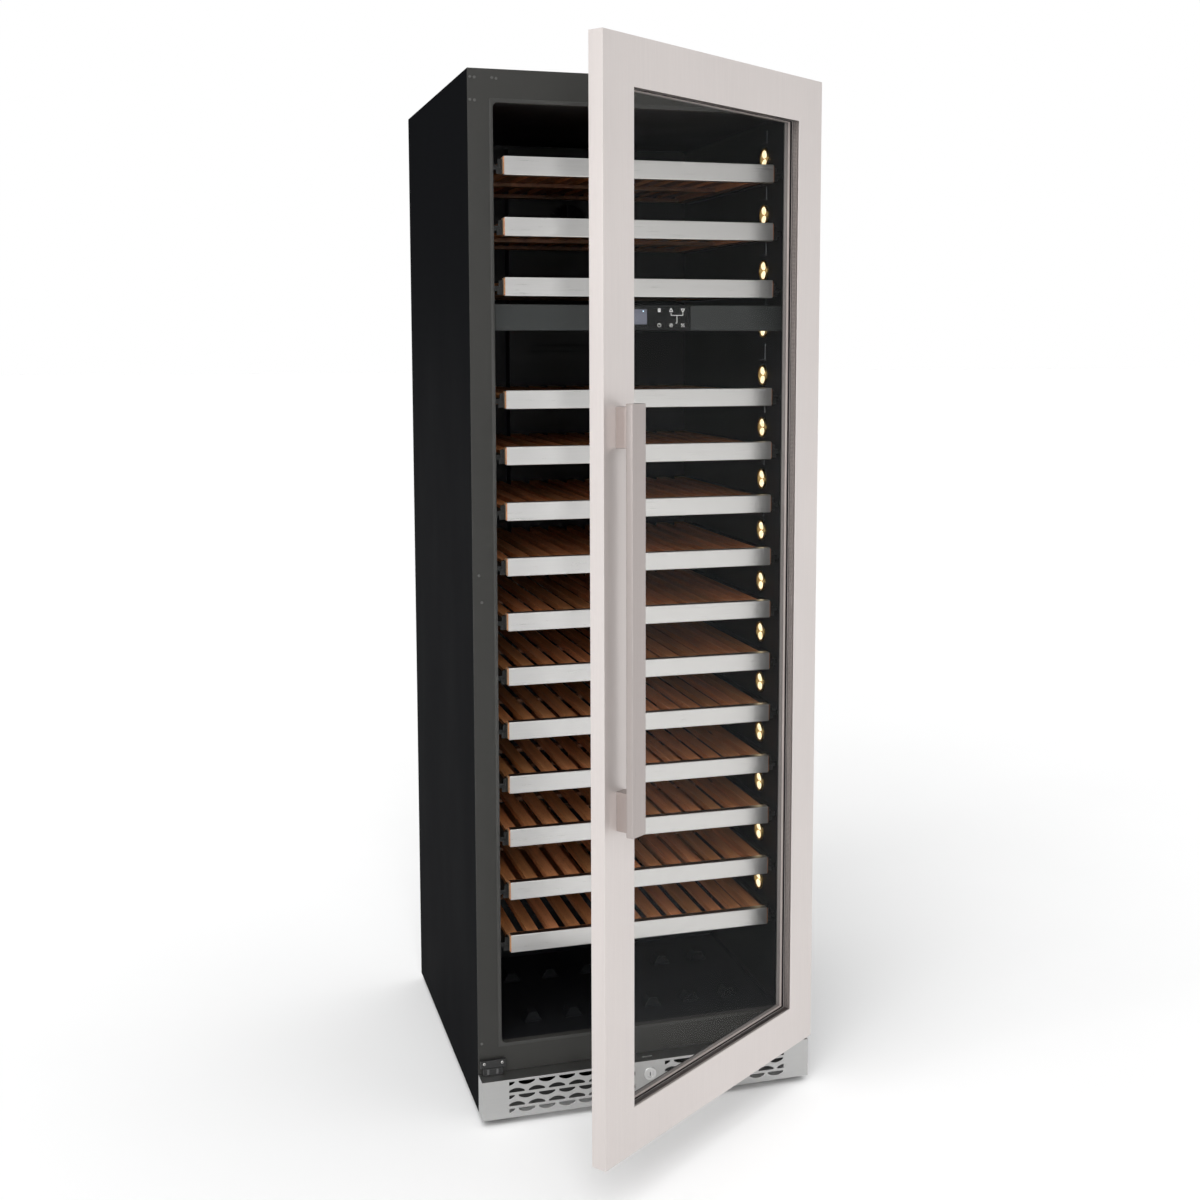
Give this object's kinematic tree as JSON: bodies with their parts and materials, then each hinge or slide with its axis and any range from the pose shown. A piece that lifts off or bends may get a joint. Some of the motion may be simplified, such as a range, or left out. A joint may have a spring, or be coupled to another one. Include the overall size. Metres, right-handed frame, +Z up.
{
  "type": "wine cooler",
  "caption": "Tall two-zone wine cooler with a hinged steel-framed glass door, sliding wood shelves with steel fronts, a touch control bar, wall lamps and a vented kick plate.",
  "frame": {"origin": "on the floor, on the cabinet's middle plane, 120 mm behind its front frame: the middle of the whole footprint with the door at its rest angle", "axes": "+X to the right seen from the front, +Y from the front to the back, +Z up"},
  "size_m": [0.6026, 1.0208, 1.765],
  "materials": {
    "black_steel": "satin powder coat",
    "frame_grey": "satin powder coat",
    "galvanised": "matt zinc",
    "liner_black": "fine moulded texture",
    "foam": "rigid foam, matt",
    "door_steel": "vertical brushing",
    "shelf_steel": "horizontal brushing",
    "kick_steel": "horizontal brushing",
    "handle_steel": "vertical brushing",
    "beech": "oiled, fine straight grain",
    "glass": "clear low-emissivity",
    "spacer_alu": "satin, perforated",
    "gasket_rubber": "matt",
    "door_plastic": "fine texture",
    "fascia_grey": "satin",
    "touch_gloss": "gloss",
    "lamp_gold": "clear amber lens in a gold ring",
    "bracket_black": "satin black",
    "rail_black": "black zinc",
    "pin_steel": "ground",
    "lock_chrome": "polished",
    "foot_plastic": "matt",
    "compressor_black": "gloss black paint",
    "condenser_alu": "mill finish",
    "fan_plastic": "matt"
  },
  "bodies": {
    "cabinet": {"outer_wrap": "black_steel", "rear_panel": "black_steel", "front_flange": "frame_grey", "inner_liner": "liner_black", "insulation": "foam", "machine_base": "galvanised", "levelling_feet": "foot_plastic", "kick_plate": "kick_steel", "lock_barrel": "lock_chrome", "hinge_brackets": "bracket_black", "hinge_pins": "pin_steel", "zone_divider": "liner_black", "control_fascia": "fascia_grey", "touch_panel": "touch_gloss", "wall_lamps": "lamp_gold", "shelf_rails": "rail_black", "evaporator_covers": "liner_black", "compressor": "compressor_black", "condenser": "condenser_alu", "power_inlet": "liner_black"},
    "door": {"door_skin": "door_steel", "door_liner": "door_plastic", "glass_panes": "glass", "glass_spacer": "spacer_alu", "door_gasket": "gasket_rubber", "handle_bar": "handle_steel", "handle_posts": "handle_steel"},
    "shelf_01": {"shelf_01_rack": "beech", "shelf_01_front": "shelf_steel"},
    "shelf_02": {"shelf_02_rack": "beech", "shelf_02_front": "shelf_steel"},
    "shelf_03": {"shelf_03_rack": "beech", "shelf_03_front": "shelf_steel"},
    "shelf_04": {"shelf_04_rack": "beech", "shelf_04_front": "shelf_steel"},
    "shelf_05": {"shelf_05_rack": "beech", "shelf_05_front": "shelf_steel"},
    "shelf_06": {"shelf_06_rack": "beech", "shelf_06_front": "shelf_steel"},
    "shelf_07": {"shelf_07_rack": "beech", "shelf_07_front": "shelf_steel"},
    "shelf_08": {"shelf_08_rack": "beech", "shelf_08_front": "shelf_steel"},
    "shelf_09": {"shelf_09_rack": "beech", "shelf_09_front": "shelf_steel"},
    "shelf_10": {"shelf_10_rack": "beech", "shelf_10_front": "shelf_steel"},
    "shelf_11": {"shelf_11_rack": "beech", "shelf_11_front": "shelf_steel"},
    "shelf_12": {"shelf_12_rack": "beech", "shelf_12_front": "shelf_steel"},
    "shelf_13": {"shelf_13_rack": "beech", "shelf_13_front": "shelf_steel"},
    "shelf_14": {"shelf_14_rack": "beech", "shelf_14_front": "shelf_steel"},
    "lock_plug": {"lock_cylinder": "lock_chrome"},
    "bolt": {"lock_bolt": "pin_steel"},
    "upper_zone_fan": {"fan_upper": "fan_plastic"},
    "lower_zone_fan": {"fan_lower": "fan_plastic"},
    "condenser_fan": {"fan_condenser": "fan_plastic"}
  },
  "joints": [
    {"name": "door_hinge", "type": "hinge", "parent": "cabinet", "child": "door", "pos_m": [0.285, -0.141, 0.9], "axis": [0, 0, 1], "range_deg": [-36, 74]},
    {"name": "shelf_01_slide", "type": "slide", "parent": "cabinet", "child": "shelf_01", "axis": [0, -1, 0], "range_m": [0, 0.048]},
    {"name": "shelf_02_slide", "type": "slide", "parent": "cabinet", "child": "shelf_02", "axis": [0, -1, 0], "range_m": [0, 0.048]},
    {"name": "shelf_03_slide", "type": "slide", "parent": "cabinet", "child": "shelf_03", "axis": [0, -1, 0], "range_m": [0, 0.048]},
    {"name": "shelf_04_slide", "type": "slide", "parent": "cabinet", "child": "shelf_04", "axis": [0, -1, 0], "range_m": [0, 0.048]},
    {"name": "shelf_05_slide", "type": "slide", "parent": "cabinet", "child": "shelf_05", "axis": [0, -1, 0], "range_m": [0, 0.048]},
    {"name": "shelf_06_slide", "type": "slide", "parent": "cabinet", "child": "shelf_06", "axis": [0, -1, 0], "range_m": [0, 0.048]},
    {"name": "shelf_07_slide", "type": "slide", "parent": "cabinet", "child": "shelf_07", "axis": [0, -1, 0], "range_m": [0, 0.048]},
    {"name": "shelf_08_slide", "type": "slide", "parent": "cabinet", "child": "shelf_08", "axis": [0, -1, 0], "range_m": [0, 0.048]},
    {"name": "shelf_09_slide", "type": "slide", "parent": "cabinet", "child": "shelf_09", "axis": [0, -1, 0], "range_m": [0, 0.048]},
    {"name": "shelf_10_slide", "type": "slide", "parent": "cabinet", "child": "shelf_10", "axis": [0, -1, 0], "range_m": [0, 0.048]},
    {"name": "shelf_11_slide", "type": "slide", "parent": "cabinet", "child": "shelf_11", "axis": [0, -1, 0], "range_m": [0, 0.048]},
    {"name": "shelf_12_slide", "type": "slide", "parent": "cabinet", "child": "shelf_12", "axis": [0, -1, 0], "range_m": [0, 0.048]},
    {"name": "shelf_13_slide", "type": "slide", "parent": "cabinet", "child": "shelf_13", "axis": [0, -1, 0], "range_m": [0, 0.048]},
    {"name": "shelf_14_slide", "type": "slide", "parent": "cabinet", "child": "shelf_14", "axis": [0, -1, 0], "range_m": [0, 0.048]},
    {"name": "lock_turn", "type": "hinge", "parent": "cabinet", "child": "lock_plug", "pos_m": [0, -0.154, 0.0566], "axis": [0, -1, 0], "range_deg": [0, 90]},
    {"name": "bolt_lift", "type": "slide", "parent": "cabinet", "child": "bolt", "axis": [0, 0, 1], "range_m": [0, 0.0142]},
    {"name": "upper_fan_spin", "type": "hinge", "parent": "cabinet", "child": "upper_zone_fan", "pos_m": [0, 0.4135, 1.56], "axis": [0, 1, 0], "continuous": true},
    {"name": "lower_fan_spin", "type": "hinge", "parent": "cabinet", "child": "lower_zone_fan", "pos_m": [0, 0.4135, 0.76], "axis": [0, 1, 0], "continuous": true},
    {"name": "condenser_fan_spin", "type": "hinge", "parent": "cabinet", "child": "condenser_fan", "pos_m": [0.107, 0.395, 0.092], "axis": [1, 0, 0], "continuous": true}
  ],
  "couplings": [
    {"joint": "bolt_lift", "follows": "lock_turn", "m_per_rad": 0.009}
  ]
}
